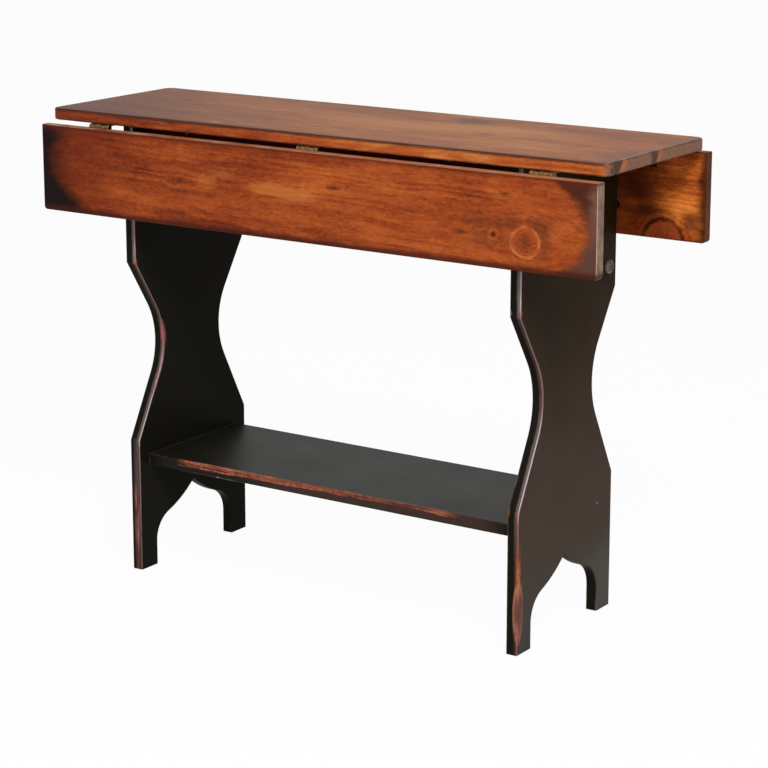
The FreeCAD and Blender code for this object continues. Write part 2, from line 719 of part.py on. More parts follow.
board_screws = [s for end in ENDS for s in end_screw_spots(end)]
node(copies("end_screws", end_screw, board_screws), "end_board_screws")
node(copies("end_plugs", plug, board_screws), "end_board_plugs")
node(copies("cleat_screws", cleat_screw, [s for end in ENDS for s in cleat_screw_spots(end)]), "cleat_screws")
node(copies("leaf_stops", peg, [s for end in ENDS for s in peg_spots(end)]), "leaf_stop_pegs")


# Knob on the right end board

def side_knob():
    """A turned knob with a dished face."""
    parts = [
        solid("Cylinder", "knob_shank", z="-knob_shank_depth", Radius="knob_shank_radius",
              Height="knob_shank_depth"),
        solid("Cone", "knob_neck", Radius1="knob_collar_radius", Radius2="knob_neck_radius",
              Height="knob_projection - knob_half_thickness"),
        solid("Ellipsoid", "knob_head", z="knob_projection - knob_half_thickness",
              Radius1="knob_half_thickness", Radius2="knob_radius", Radius3="knob_radius"),
    ]
    dish = solid("Ellipsoid", "knob_dish", z="knob_projection", Radius1="knob_dish_depth",
                 Radius2="knob_dish_radius", Radius3="knob_dish_radius")
    return copy("knob_placed", cut("knob_master", fuse("knob_blank", parts), dish), **KNOB_SPOT)


node(side_knob(), "side_knob")


# Leaf hinges: two plates with interleaved knuckles on one pin, drawn about the pin's axis

def knuckle_start(number):
    return f"(-hinge_length / 2 + {number} * hinge_length / {KNUCKLES} + knuckle_gap / 2)"


def hinge_plate(name, knuckles):
    """A plate that lies out along +Y at the height of the wood, with the knuckles of these numbers."""
    width = f"(hinge_length / {KNUCKLES} - knuckle_gap)"
    parts = [solid("Box", f"{name}_plate", x="-hinge_length / 2", y=HINGE_DROP, z=PLATE_FACE,
                   Length="hinge_length", Width=f"hinge_plate_width - {HINGE_DROP}",
                   Height="hinge_plate_thickness")]
    for number in knuckles:
        start = knuckle_start(number)
        parts.append(solid("Box", f"{name}_tongue_{number}", x=start, y="barrel_gap", z=PLATE_FACE,
                           Length=width, Width=HINGE_DROP, Height="hinge_plate_thickness"))
        barrel = solid("Cylinder", f"{name}_barrel_{number}", Radius="barrel_radius", Height=width)
        parts.append(place(barrel, x=start, **HEAD_RIGHT))
    bore = solid("Cylinder", f"{name}_bore", Radius="hinge_pin_radius + fit_clearance",
                 Height="2 * hinge_length")
    place(bore, x="-hinge_length", **HEAD_RIGHT)
    screws = [spot(along, out, PLATE_FACE, **HEAD_DOWN) for along, out in PLATE_SCREWS]
    holes = copies(f"{name}_screw_holes", hinge_screw_hole, screws)
    return cut(f"{name}_master", fuse(f"{name}_blank", parts), fuse(f"{name}_openings", [bore, holes]))


def hinge_pin():
    pin = solid("Cylinder", "hinge_pin_rod", Radius="hinge_pin_radius", Height="hinge_length - knuckle_gap")
    place(pin, x="-(hinge_length - knuckle_gap) / 2", **HEAD_RIGHT)
    return hold("hinge_pin_master", pin)


top_plate = hinge_plate("hinge_top", range(0, KNUCKLES, 2))
leaf_plate = hinge_plate("hinge_leaf", range(1, KNUCKLES, 2))
pin = hinge_pin()
for side, (sign, _) in SIDES.items():
    flip = HALF_TURN if sign > 0 else {}
    hang = {"axis": (1, 0, 0), "angle": -90, "then": None if sign > 0 else ((0, 0, 1), 180)}
    for where, number in HINGES.items():
        at = {"x": f"{number} * {HINGE_SPACING}", "y": f"{sign} * {TOP_EDGE}", "z": HINGE_HEIGHT}
        name = f"{side}_{where}_hinge"
        node(copy(f"{name}_top", top_plate, **at, **flip), f"{name}_top_plate")
        node(copy(f"{name}_leaf", leaf_plate, **at, **hang), f"{name}_leaf_plate")
        node(copy(f"{name}_rod", pin, **at), f"{name}_pin")

node(copies("top_screws", hinge_screw, top_hinge_screw_spots()), "top_hinge_screws")
for side in SIDES:
    node(copies(f"{side}_leaf_screws", hinge_screw, leaf_hinge_screw_spots(side)),
         f"{side}_leaf_hinge_screws")


# Swivel supports in their places, stored along the apron and pointing to the middle

for side, (sign, _) in SIDES.items():
    for end, (way, _) in ENDS.items():
        node(copy(f"{side}_{end}_bar", support, x=f"{way} * support_from_middle", y=f"{sign} * {PIVOT_LINE}",
                  z=f"{UNDERSIDE} - support_clearance - support_thickness", **(HALF_TURN if way > 0 else {})),
             f"{side}_{end}_leaf_support")
node(copies("pivot_screws", pivot, pivot_spots), "support_pivot_screws")
node(copies("stop_pins", stop_pin, stop_pin_spots), "support_stop_pins")


# Every object must be sound before anything is written
doc.recompute()
for thing in doc.Objects:
    if "Invalid" in thing.State or "Error" in thing.State:
        raise RuntimeError(f"{thing.Label} failed: {thing.State}")
shapes = {thing.Label: Part.getShape(thing) for thing in nodes}
for label, shape in shapes.items():
    if shape.isNull() or not shape.isValid() or not shape.Solids:
        raise RuntimeError(f"{label} has no sound solid")

os.makedirs("parts", exist_ok=True)
for label, shape in shapes.items():
    shape.exportStep(f"parts/{label}.step")
print(f"{len(shapes)} sub-parts, {sum(len(shape.Solids) for shape in shapes.values())} solids")
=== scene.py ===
"""Looks of the drop-leaf table: waxed, stained pine boards on a base of rubbed black paint.

The CAD shapes stay as they are. Materials are drawn in the frame's own coordinates, in metres, with +X along
the top, +Y to the rear and +Z up, so a knot or a worn corner stays with its board when the board moves.
"""
import math

import bpy
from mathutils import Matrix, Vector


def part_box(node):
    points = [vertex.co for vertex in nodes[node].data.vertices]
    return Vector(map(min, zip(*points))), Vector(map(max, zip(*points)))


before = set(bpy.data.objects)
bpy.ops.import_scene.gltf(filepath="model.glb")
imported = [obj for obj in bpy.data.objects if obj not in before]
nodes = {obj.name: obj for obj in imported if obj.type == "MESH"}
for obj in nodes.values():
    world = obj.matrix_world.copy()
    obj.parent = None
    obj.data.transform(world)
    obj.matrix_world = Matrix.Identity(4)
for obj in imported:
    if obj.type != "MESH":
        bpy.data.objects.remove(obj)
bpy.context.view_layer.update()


class Field:
    """A number that varies over a surface; arithmetic on it adds math nodes."""

    def __init__(self, graph, socket):
        self.graph = graph
        self.socket = socket

    def __add__(self, other):
        return self.graph.math("ADD", self, other)

    def __sub__(self, other):
        return self.graph.math("SUBTRACT", self, other)

    def __rsub__(self, other):
        return self.graph.math("SUBTRACT", other, self)

    def __mul__(self, other):
        return self.graph.math("MULTIPLY", self, other)

    def __truediv__(self, other):
        return self.graph.math("DIVIDE", self, other)

    def __abs__(self):
        return self.graph.math("ABSOLUTE", self)

    __radd__ = __add__
    __rmul__ = __mul__


class Graph:
    """A material and the node tree that draws it."""

    def __init__(self, name):
        self.material = bpy.data.materials.new(name)
        self.material.use_nodes = True
        self.tree = self.material.node_tree
        self.shader = self.tree.nodes["Principled BSDF"]
        place = self.new("ShaderNodeTexCoord")
        self.x, self.y, self.z = self.split(place.outputs["Object"])
        self.facing_x, self.facing_y, self.facing_z = self.split(place.outputs["Normal"])

    def new(self, kind, inputs=None, **settings):
        node = self.tree.nodes.new(kind)
        for name, value in settings.items():
            setattr(node, name, value)
        for name, value in (inputs or {}).items():
            self.feed(node.inputs[name], value)
        return node

    def feed(self, socket, value):
        if isinstance(value, Field):
            value = value.socket
        if isinstance(value, bpy.types.NodeSocket):
            self.tree.links.new(value, socket)
        else:
            socket.default_value = value

    def split(self, vector):
        parts = self.new("ShaderNodeSeparateXYZ", {"Vector": vector})
        return [Field(self, part) for part in parts.outputs]

    def math(self, operation, *values):
        node = self.new("ShaderNodeMath", operation=operation)
        for socket, value in zip(node.inputs, values):
            self.feed(socket, value)
        return Field(self, node.outputs[0])

    def square(self, value):
        return value * value

    def rise(self, value, start, end):
        """0 at the start and 1 at the end, smooth between them; the start may be the larger one."""
        node = self.new("ShaderNodeMapRange", {"Value": value, "From Min": start, "From Max": end},
                        interpolation_type="SMOOTHSTEP")
        return Field(self, node.outputs["Result"])

    def noise(self, x, y, z, detail=2.0, roughness=0.5):
        """Smooth noise about 0, mostly within 0.5 of it, of coordinates that are already at its scale."""
        place = self.new("ShaderNodeCombineXYZ", {"X": x, "Y": y, "Z": z})
        node = self.new("ShaderNodeTexNoise", {"Vector": place.outputs[0], "Scale": 1.0, "Detail": detail,
                                               "Roughness": roughness, "Distortion": 0.0})
        return (Field(self, node.outputs[0]) - 0.5) * 1.6

    def ramp(self, value, stops):
        node = self.new("ShaderNodeValToRGB", {"Fac": value})
        elements = node.color_ramp.elements
        while len(elements) < len(stops):
            elements.new(1.0)
        for element, (position, colour) in zip(elements, stops):
            element.position = position
            element.color = (*colour, 1.0)
        return node.outputs["Color"]

    def mix(self, share, first, second):
        """The first colour with that share of the second."""
        node = self.new("ShaderNodeMix", data_type="RGBA", blend_type="MIX")
        factor, below, above = node.inputs[0], node.inputs[6], node.inputs[7]
        for socket, value in ((factor, share), (below, first), (above, second)):
            self.feed(socket, (*value, 1.0) if isinstance(value, tuple) else value)
        return node.outputs[2]

    def blot(self, across, up, at, half, soft=0.5, wobble=0.0):
        """1 within an ellipse about a point and 0 outside it, with a soft rim."""
        level, upright = (across - at[0]) / half[0], (up - at[1]) / half[1]
        reach = self.math("SQRT", self.square(level) + self.square(upright))
        return self.rise(reach + wobble, 1 + soft, 1 - soft)

    def mark(self, colour, across, up, marks, tone, soft, wobble, where=1.0):
        """Lay marks of one tone on a colour, each given by its place, its half size and its strength."""
        for at, half, strength in marks:
            blot = self.blot(across, up, at, half, soft, wobble) * where
            colour = self.mix(blot * strength, colour, tone)
        return colour

    def dress(self, colour, roughness, gloss, height, relief):
        """Give the shader its colour, its roughness and gloss, and a relief in metres."""
        self.feed(self.shader.inputs["Base Color"], colour)
        self.feed(self.shader.inputs["Roughness"], roughness)
        self.shader.inputs["Specular IOR Level"].default_value = gloss
        bump = self.new("ShaderNodeBump", {"Height": height, "Distance": relief, "Strength": 1.0})
        self.feed(self.shader.inputs["Normal"], bump.outputs["Normal"])
        return self.material


def edge_distance(graph, node):
    """How far a point on a box-shaped board is from the board's nearest arris."""
    low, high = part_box(node)
    inset = []
    for value, start, end in zip((graph.x, graph.y, graph.z), low, high):
        inset.append((end - start) / 2 - abs(value - (start + end) / 2))
    near = graph.math("MINIMUM", inset[0], inset[1])
    far = graph.math("MAXIMUM", inset[0], inset[1])
    return graph.math("MAXIMUM", near, graph.math("MINIMUM", far, inset[2]))


# Stained pine

PINE_TONES = [
    (0.0, (0.050, 0.007, 0.002)),
    (0.25, (0.150, 0.022, 0.005)),
    (0.5, (0.295, 0.052, 0.010)),
    (0.75, (0.410, 0.092, 0.017)),
    (1.0, (0.560, 0.190, 0.045)),
]
# Brighter copies of the pine tones for the rear leaf: painted light that lifts the wood out of the shade it
# hangs in under the top
REAR_TONES_LIFTED_FROM_SHADE = [
    (0.0, (0.030, 0.004, 0.001)),
    (0.25, (0.170, 0.026, 0.005)),
    (0.5, (0.430, 0.088, 0.015)),
    (0.75, (0.760, 0.200, 0.032)),
    (1.0, (0.950, 0.340, 0.070)),
]
# The top's upper face: its own browner stain, greyed by a painted sheen of the bright surroundings that its
# wax reflects
TOP_TONES_WITH_SHEEN = [
    (0.0, (0.070, 0.014, 0.004)),
    (0.25, (0.150, 0.038, 0.009)),
    (0.5, (0.265, 0.080, 0.018)),
    (0.75, (0.375, 0.130, 0.034)),
    (1.0, (0.500, 0.220, 0.080)),
]
APRON_TONES = [(0.0, (0.012, 0.002, 0.001)), (1.0, (0.120, 0.014, 0.004))]

KNOT_RIM = (0.47, 0.150, 0.036)
KNOT_RED = (0.350, 0.066, 0.014)
DARK_RED = (0.100, 0.010, 0.003)
BURNISH = (0.020, 0.004, 0.002)
SMOKE = (0.065, 0.016, 0.007)

PORE_RELIEF = -0.0002
LEAF_GLOSS = 0.06
TOP_GLOSS = 0.10
APRON_GLOSS = 0.04


class Pine:
    """The grain of one board: along it, across its face and through its depth."""

    def __init__(self, graph, along, across, depth, heart, seed):
        self.graph, self.along, self.across, self.depth = graph, along, across, depth
        self.heart, self.seed = heart, seed
        wander = graph.noise(along * 3.2 + seed, across * 9, depth * 9, detail=3.0)
        self.line = across + wander * 0.020

    def part_round(self, at, radius):
        """Lead the grain round a knot."""
        g = self.graph
        off = self.line - at[1]
        near = g.square((self.along - at[0]) / (1.8 * radius)) + g.square(off / (1.3 * radius))
        self.line = at[1] + off * (1 - g.math("EXPONENT", near * -1) * 0.85)

    def grain(self, along, across, **settings):
        """Noise drawn out along the grain, at so many waves a metre along it and across it."""
        place = (self.along * along + self.seed, self.line * across, self.depth * across)
        return self.graph.noise(*place, **settings)

    def tone(self, rings=0.16, streaks=0.28, mottle=0.28, clouds=0.48, fibre=0.29, pores=0.26):
        """Where the wood lies between its darkest and its lightest tone."""
        g = self.graph
        ring_width, taper = 0.011, 0.03
        reach = g.math("SQRT", g.square(self.line - self.heart[0]) + g.square(self.depth - self.heart[1]))
        reach = reach + self.along * taper + self.grain(9, 40) * 0.004
        turn = g.math("FRACT", reach / ring_width + g.noise(reach * 60, self.seed, 0.0) * 1.4)
        late = g.rise(turn, 0.05, 0.8) * g.rise(turn, 1.0, 0.84) * g.rise(self.grain(7, 25), -0.3, 0.3)
        cloud = self.grain(6, 20, detail=4.0, roughness=0.55)
        streak = self.grain(16, 150, detail=3.0)
        blotch = self.grain(70, 150, detail=4.0, roughness=0.65)
        self.pore = g.rise(self.grain(85, 620, detail=3.0, roughness=0.6), 0.10, 0.42)
        thread = self.grain(120, 330, detail=3.0, roughness=0.6)
        light = cloud * clouds + streak * streaks + blotch * mottle + thread * fibre
        return 0.52 + light - late * rings - self.pore * pores

    def reach(self, at, radius, ragged=0.20):
        """Distance from a point of the face in units of a radius, with an uneven outline."""
        g = self.graph
        away = g.math("SQRT", g.square(self.along - at[0]) + g.square((self.across - at[1]) * 1.08)) / radius
        uneven = g.noise(self.along * 75, self.across * 75, self.seed, detail=3.0, roughness=0.6)
        return away + uneven * ragged

    def knot(self, colour, at, radius, heart, rim, ragged=0.20):
        """Draw a knot: a mottled red disc, dark at its heart, inside a broken bright rim."""
        g = self.graph
        reach = self.reach(at, radius, ragged)
        speck = g.noise(self.along * 300, self.across * 300, self.depth * 300, detail=4.0, roughness=0.7)
        face = g.mix(g.rise(speck * 1.3 + reach * 0.55, 0.55, 0.0) * 0.85, KNOT_RED, heart)
        colour = g.mix(g.rise(reach, 1.06, 0.92), colour, face)
        broken = g.rise(g.noise(self.along * 55, self.across * 55, self.seed + 7), -0.35, 0.15)
        ring = g.rise(reach, 0.78, 0.92) * g.rise(reach, 1.07, 0.97)
        return g.mix(ring * broken * rim, colour, KNOT_RIM)


def rub_arris(graph, node, colour, tone, width, strength):
    """Turn the colour towards another tone along a board's arrises, unevenly."""
    reach = edge_distance(graph, node)
    uneven = graph.noise(graph.x * 24, graph.y * 60, graph.z * 60, detail=4.0)
    rub = graph.rise(reach + uneven * width, width, width * 0.15)
    return graph.mix(rub * strength, colour, tone)


# The front leaf

LEAF_MIDDLE = 0.668
LEAF_KNOT = (0.397, 0.641)
LEAF_KNOT_HEART = (0.120, 0.018, 0.006)
SMALL_KNOT = (0.3435, 0.648)
SMALL_KNOT_HEART = (0.100, 0.016, 0.005)
LEAF_SWIRL = (-0.2405, 0.675)

LENS_SLANT = 0.038
LENS = [((-0.033, 0.6700), (0.066, 0.0092), 0.50)]
LENS_GOLD = (0.50, 0.165, 0.035)
LENS_CORE = [((-0.052, 0.6612), (0.020, 0.0021), 0.55)]
LENS_CORE_RED = (0.150, 0.024, 0.006)
SWIRL_GLOWS = [((-0.177, 0.676), (0.016, 0.009), 0.40), ((-0.150, 0.689), (0.022, 0.005), 0.30)]
SWIRL_GOLD = (0.48, 0.155, 0.036)
RED_BAND = [((-0.115, 0.705), (0.075, 0.0060), 0.45)]
LEAF_SMUDGES = [
    ((0.0622, 0.6881), (0.010, 0.0030), 0.8),
    ((0.363, 0.7084), (0.009, 0.0026), 0.8),
    ((0.420, 0.668), (0.020, 0.012), 0.65),
    ((0.430, 0.640), (0.010, 0.024), 0.45),
    ((0.376, 0.668), (0.018, 0.010), 0.55),
    ((0.320, 0.664), (0.030, 0.010), 0.50),
    ((0.285, 0.645), (0.011, 0.0040), 0.60),
    ((0.338, 0.638), (0.028, 0.012), 0.42),
    ((0.20, 0.70), (0.007, 0.0024), 0.5),
    ((0.225, 0.688), (0.006, 0.0020), 0.5),
    ((-0.236, 0.672), (0.012, 0.0040), 0.45),
    ((-0.258, 0.681), (0.010, 0.0024), 0.40),
]
PITH = [((0.3441, 0.648), (0.0036, 0.0034), 0.8)]
PITH_BROWN = (0.028, 0.007, 0.003)

CHARRED = (0.005, 0.002, 0.002)
SOOT = (0.024, 0.008, 0.005)
LOW_GREY = (0.085, 0.040, 0.027)
HIGH_GREY = (0.165, 0.072, 0.047)
END_BROWN = (0.17, 0.105, 0.075)
END_PALE_SHEEN = (0.36, 0.23, 0.165)
END_ARRIS_HIGHLIGHT = (0.42, 0.30, 0.25)
LOWER_EDGE = (0.045, 0.008, 0.004)
ARRIS_SHADE = (0.075, 0.014, 0.005)
WORN_ORANGE = (0.40, 0.17, 0.085)
WORN_PALE = (0.52, 0.30, 0.20)


def front_leaf_pine():
    """The front leaf: two knots to the right, a golden lens near the middle and burnished ends."""
    g = Graph("front_leaf_pine")
    pine = Pine(g, g.x, g.z, g.y, heart=(0.56, -0.10), seed=3.0)
    for at, radius in ((LEAF_KNOT, 0.028), (SMALL_KNOT, 0.010), (LEAF_SWIRL, 0.014)):
        pine.part_round(at, radius)
    drift = g.noise(g.x * 24, g.z * 40, g.y * 40, detail=4.0, roughness=0.6)
    golden = g.blot(g.x, g.z, (0.14, LEAF_MIDDLE), (0.30, 0.060), 0.7, drift * 0.6)
    colour = g.ramp(pine.tone() + golden * 0.10 - 0.02, PINE_TONES)
    slant = g.z + g.x * LENS_SLANT
    colour = g.mark(colour, g.x, slant, LENS, LENS_GOLD, 0.35, drift * 0.5)
    colour = g.mark(colour, g.x, slant, LENS_CORE, LENS_CORE_RED, 0.6, drift * 0.7)
    ragged = g.noise(g.x * 90, g.z * 220, g.y * 220, detail=3.0) * 1.2
    colour = g.mark(colour, g.x, g.z, SWIRL_GLOWS, SWIRL_GOLD, 0.7, ragged * 0.8)
    colour = g.mark(colour, g.x, g.z, RED_BAND, DARK_RED, 0.7, drift * 0.9)
    colour = g.mark(colour, g.x, g.z, LEAF_SMUDGES, SMOKE, 0.8, ragged * 0.9)
    colour = pine.knot(colour, LEAF_KNOT, 0.0255, LEAF_KNOT_HEART, rim=0.75)
    colour = pine.knot(colour, SMALL_KNOT, 0.0090, SMALL_KNOT_HEART, rim=0.30, ragged=0.45)
    colour = g.mark(colour, g.x, g.z, PITH, PITH_BROWN, 0.7, ragged * 0.4)
    colour = burnish_left_end(g, colour, drift)
    colour = smoke_right_end(g, colour, drift)
    colour = wear_leaf_edges(g, colour, drift)
    return g.dress(colour, 0.45 + pine.pore * 0.15, LEAF_GLOSS, pine.pore, PORE_RELIEF)


def burnish_left_end(g, colour, drift):
    """Darken the front leaf's left end from red to black, most at its lower corner."""
    colour = g.mix(g.rise(g.x + drift * 0.07, -0.29, -0.47) * 0.62, colour, DARK_RED)
    corner = g.math("MAXIMUM", 0.660 - g.z, 0.0) + g.math("MAXIMUM", g.z - 0.700, 0.0) * 0.5
    inward = g.x + drift * 0.026 - corner
    colour = g.mix(g.rise(inward, -0.452, -0.503) * 0.88, colour, BURNISH)
    return g.mix(g.rise(inward, -0.490, -0.510) * 0.92, colour, CHARRED)


def smoke_right_end(g, colour, drift):
    """Darken the front leaf's right end in a bow, colour the end itself a greyish brown that is partly a
    painted sheen, and paint a highlight down the arris between front and end.
    """
    curve = 10.5
    outward = g.x + drift * 0.014 + g.square(g.z - LEAF_MIDDLE) * curve
    smoky = g.rise(g.z + drift * 0.03, 0.650, 0.700)
    colour = g.mix(g.rise(outward + drift * 0.02, 0.474, 0.516) * smoky * 0.95, colour, SOOT)
    colour = g.mix(g.rise(outward + drift * 0.012, 0.484, 0.520) * 0.70, colour, SMOKE)
    lower_bow = g.square(g.math("MAXIMUM", LEAF_MIDDLE - g.z, 0.0)) * curve
    grey = g.mix(g.rise(g.z, 0.63, 0.70), LOW_GREY, HIGH_GREY)
    colour = g.mix(g.rise(g.x + lower_bow + drift * 0.030, 0.492, 0.518) * 0.90, colour, grey)
    # The end grain's greyish brown, partly a painted lilac-grey sheen of the light from the right
    end = g.rise(g.facing_x, 0.2, 0.6)
    colour = g.mix(end * 0.85, colour, g.mix(g.rise(drift, -0.3, 0.4), END_BROWN, END_PALE_SHEEN))
    # A painted highlight down the rounded arris between the front and the end
    line = g.rise(g.facing_x, 0.05, 0.35) * g.rise(g.facing_x, 0.85, 0.55) * g.rise(g.facing_y, -0.3, -0.7)
    return g.mix(line * g.rise(drift, -0.6, 0.0) * 0.8, colour, END_ARRIS_HIGHLIGHT)


def wear_leaf_edges(g, colour, drift):
    """Darken the front leaf's lower edge and the strip under its upper arris; wear its upper edge pale."""
    strip = g.rise(g.z + drift * 0.010, 0.722, 0.737) * g.rise(g.facing_y, -0.3, -0.7)
    colour = g.mix(strip * 0.45, colour, DARK_RED)
    colour = g.mix(g.rise(g.z + drift * 0.006, 0.612, 0.602) * 0.88, colour, LOWER_EDGE)
    shade = g.rise(g.z + drift * 0.003, 0.7325, 0.7350) * g.rise(g.facing_z, 0.85, 0.60)
    colour = g.mix(shade * 0.55, colour, ARRIS_SHADE)
    worn = g.rise(g.facing_z, 0.60, 0.90) * g.rise(drift + g.x * 0.5, -0.45, 0.05)
    return g.mix(worn * 0.75, colour, g.mix(g.rise(drift, -0.1, 0.4), WORN_ORANGE, WORN_PALE))


# The rear leaf

REAR_KNOT = (0.4444, 0.598)
REAR_KNOT_RADIUS = 0.034
REAR_KNOT_HEART = (0.150, 0.024, 0.008)
REAR_RED = [((0.372, 0.650), (0.066, 0.080), 0.62)]
DEEP_RED = (0.200, 0.026, 0.006)
REAR_SHADOW = [((0.350, 0.715), (0.085, 0.050), 0.75)]
REAR_SMUDGES = [
    ((0.491, 0.630), (0.016, 0.014), 0.75),
    ((0.412, 0.640), (0.022, 0.010), 0.75),
    ((0.400, 0.668), (0.028, 0.016), 0.75),
]
REAR_BROWN = (0.045, 0.012, 0.006)


def rear_leaf_pine():
    """The rear leaf: a large, dark-ringed knot low on the right, red wood beside it and gold above it, the
    gold partly a painted pool of light, with a painted shadow of the top high up and tones brightened as
    painted light.
    """
    g = Graph("rear_leaf_pine")
    pine = Pine(g, g.x, g.z, g.y, heart=(0.80, 0.09), seed=11.0)
    pine.part_round(REAR_KNOT, 0.045)
    drift = g.noise(g.x * 24, g.z * 40, g.y * 40, detail=4.0, roughness=0.6)
    # A golden patch at the right, partly the wood's own colour and partly a painted pool of the light that
    # reaches in under the top's right end; the small lift of the whole ramp is painted light too
    gold = g.blot(g.x, g.z, (0.476, 0.664), (0.046, 0.044), 0.8, drift * 0.8)
    colour = g.ramp(pine.tone() + gold * 0.20 + 0.03, REAR_TONES_LIFTED_FROM_SHADE)
    colour = g.mark(colour, g.x, g.z, REAR_RED, DEEP_RED, 0.5, drift * 0.8)
    colour = g.mark(colour, g.x, g.z, REAR_SHADOW, BURNISH, 0.7, drift)
    rings = g.math("SINE", pine.reach(REAR_KNOT, REAR_KNOT_RADIUS, 0.5) * 15)
    halo = g.blot(g.x, g.z, REAR_KNOT, (0.055, 0.050), 0.4, drift * 0.3)
    colour = g.mix(g.rise(rings, 0.3, 1.0) * halo * 0.45, colour, DARK_RED)
    colour = pine.knot(colour, REAR_KNOT, REAR_KNOT_RADIUS, REAR_KNOT_HEART, rim=0.0)
    edge = pine.reach(REAR_KNOT, REAR_KNOT_RADIUS)
    outline = g.rise(edge, 0.80, 0.96) * g.rise(edge, 1.16, 1.0)
    broken = g.rise(g.noise(g.x * 60, g.z * 60, g.y * 60, detail=3.0), -0.35, 0.25) * 0.5 + 0.4
    colour = g.mix(outline * broken, colour, BURNISH)
    colour = g.mark(colour, g.x, g.z, REAR_SMUDGES, REAR_BROWN, 0.8, drift * 0.9)
    colour = g.mix(g.rise(abs(g.x) + drift * 0.016, 0.496, 0.514) * 0.85, colour, BURNISH)
    colour = rub_arris(g, "rear_leaf", colour, SMOKE, 0.003, 0.8)
    return g.dress(colour, 0.45 + pine.pore * 0.15, LEAF_GLOSS, pine.pore, PORE_RELIEF)


# The top

TOP_SPOT = (0.140, 0.098)
TOP_SPOTS = [(TOP_SPOT, (0.038, 0.024), 0.75), ((0.2235, -0.006), (0.018, 0.0040), 0.8)]
SPOT_GREY = (0.07, 0.032, 0.024)
TOP_STREAKS = [
    ((0.113, 0.140), (0.060, 0.014), 0.45),
    ((0.260, 0.050), (0.120, 0.028), 0.38),
    ((0.080, 0.010), (0.150, 0.034), 0.38),
    ((0.300, -0.060), (0.130, 0.026), 0.20),
]
STREAK_GOLD = (0.50, 0.212, 0.060)
TOP_SMUDGES = [
    ((0.400, 0.090), (0.110, 0.040), 0.40),
    ((-0.060, 0.110), (0.150, 0.030), 0.35),
    ((0.180, -0.100), (0.090, 0.018), 0.25),
    ((-0.200, -0.020), (0.120, 0.040), 0.22),
]
SMUDGE_BROWN = (0.110, 0.030, 0.010)
CORNER_BROWN = (0.060, 0.011, 0.004)
FRONT_BROWN = (0.075, 0.016, 0.007)
TOP_RUB = (0.050, 0.011, 0.005)

SCUFF = [((-0.194, -0.131), (0.013, 0.006), 0.45)]
SCUFF_GREY = (0.40, 0.29, 0.24)
ARRIS_BROWN = (0.050, 0.014, 0.007)
ARRIS_CHIP = (0.42, 0.20, 0.11)

TOP_END_MIDDLE = 0.7525
END_DARKS = [
    ((-0.122, TOP_END_MIDDLE), (0.016, 0.020), 0.8),
    ((-0.010, TOP_END_MIDDLE), (0.010, 0.020), 0.8),
]
END_TEARS = [
    ((-0.105, TOP_END_MIDDLE), (0.0075, 0.016), 0.8),
    ((0.005, TOP_END_MIDDLE), (0.0050, 0.014), 0.8),
]
TEAR_SLANT = 0.9
NEAR_END = (0.10, 0.052, 0.036)
END_GRAIN = (0.185, 0.095, 0.062)
END_FIBRE = (0.30, 0.19, 0.145)
END_CRACK = (0.030, 0.012, 0.008)
END_DARK = (0.022, 0.008, 0.005)
END_ORANGE = (0.44, 0.125, 0.034)


def top_pine():
    """The top: its upper face browner and greyer than the leaves, partly its own stain and partly a painted
    sheen, its edges lighter to the right as painted light, with golden streaks, a dark left corner and a torn
    right end.
    """
    g = Graph("top_pine")
    pine = Pine(g, g.x, g.y, g.z, heart=(-0.05, 0.66), seed=23.0)
    pine.part_round(TOP_SPOT, 0.016)
    tone = pine.tone(rings=0.14, streaks=0.38, mottle=0.16, clouds=0.36, fibre=0.16, pores=0.12)
    above = g.rise(g.facing_z, 0.3, 0.8)
    drift = g.noise(g.x * 9, g.y * 20, g.z * 20, detail=4.0)
    golden = g.blot(g.x, g.y, (0.14, 0.0), (0.36, 0.15), 0.6, drift * 0.5)
    # On the edges the wood grows lighter to the right: painted light falling from the right, over the wood's
    # own tone
    edge_tone_lit_from_right = tone * 1.5 - 0.24 + g.rise(g.x, -0.35, 0.30) * 0.26
    # The upper face takes the sheen-greyed tones, the edges the leaves' own tones
    colour = g.mix(above, g.ramp(edge_tone_lit_from_right, PINE_TONES), g.ramp(tone + golden * 0.09 - 0.02, TOP_TONES_WITH_SHEEN))
    streaky = g.noise(g.x * 14, g.y * 120, g.z * 120, detail=3.0)
    colour = g.mark(colour, g.x, g.y, TOP_STREAKS, STREAK_GOLD, 0.8, drift * 0.6 + streaky * 0.5, above)
    colour = g.mark(colour, g.x, g.y, TOP_SMUDGES, SMUDGE_BROWN, 0.8, drift * 0.7 + streaky * 0.6, above)
    colour = g.mark(colour, g.x, g.y, TOP_SPOTS, SPOT_GREY, 0.7, drift * 0.8)
    corner = g.rise(g.x * 0.75 + g.y * 0.8 + drift * 0.12, -0.08, -0.50) * above
    colour = g.mix(corner * 0.78, colour, CORNER_BROWN)
    front = g.rise(g.y + drift * 0.012, -0.128, -0.151) * above
    colour = g.mix(front * 0.60, colour, FRONT_BROWN)
    colour = wear_top_arris(g, colour, above)
    # The edges' left end darkened: partly the wood's own burnish, partly painted shade at the dark end of
    # that fall of light
    left = g.rise(g.x + drift * 0.1, -0.30, -0.52) * (1 - above)
    colour = g.mix(left * 0.55, colour, DARK_RED)
    colour = tear_top_end(g, colour, drift, above)
    colour = rub_arris(g, "top_board", colour, TOP_RUB, 0.0032, 0.7)
    return g.dress(colour, 0.48 + pine.pore * 0.12, TOP_GLOSS, pine.pore, PORE_RELIEF)


